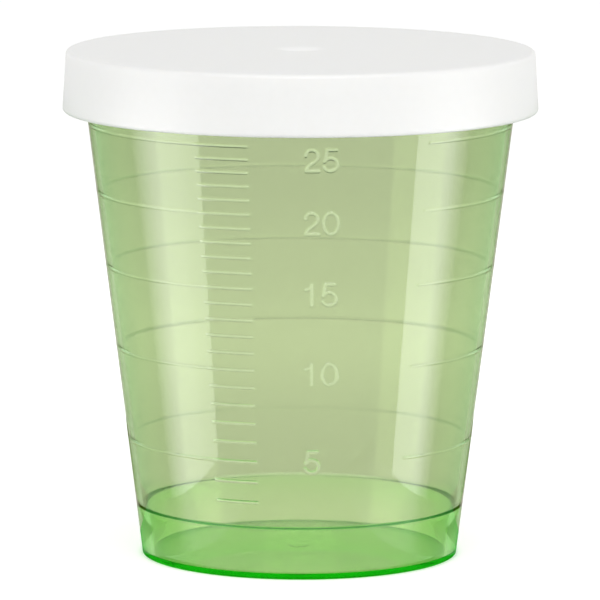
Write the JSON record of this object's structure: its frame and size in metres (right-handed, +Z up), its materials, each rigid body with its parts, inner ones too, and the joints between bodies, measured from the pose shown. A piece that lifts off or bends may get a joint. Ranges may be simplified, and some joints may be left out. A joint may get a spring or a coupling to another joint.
{
  "type": "medicine cup",
  "caption": "Clear tapered medicine cup with a raised millilitre scale round its wall, a nesting ledge above its foot and a lid that clips over the rim and lifts off.",
  "frame": {"origin": "centre of the circle that the cup stands on", "axes": "+Z up along the cup's axis, the scale is read from -Y, +X to the reader's right"},
  "size_m": [0.0396, 0.0396, 0.0424],
  "materials": {
    "clear_green_plastic": "clear, tinted green, polished",
    "white_plastic": "soft satin white"
  },
  "bodies": {
    "cup": {"cup": "clear_green_plastic"},
    "lid": {"lid": "white_plastic"}
  },
  "joints": [
    {"name": "lid_lift", "type": "slide", "parent": "cup", "child": "lid", "axis": [0, 0, 1], "range_m": [0, 0.02]}
  ]
}
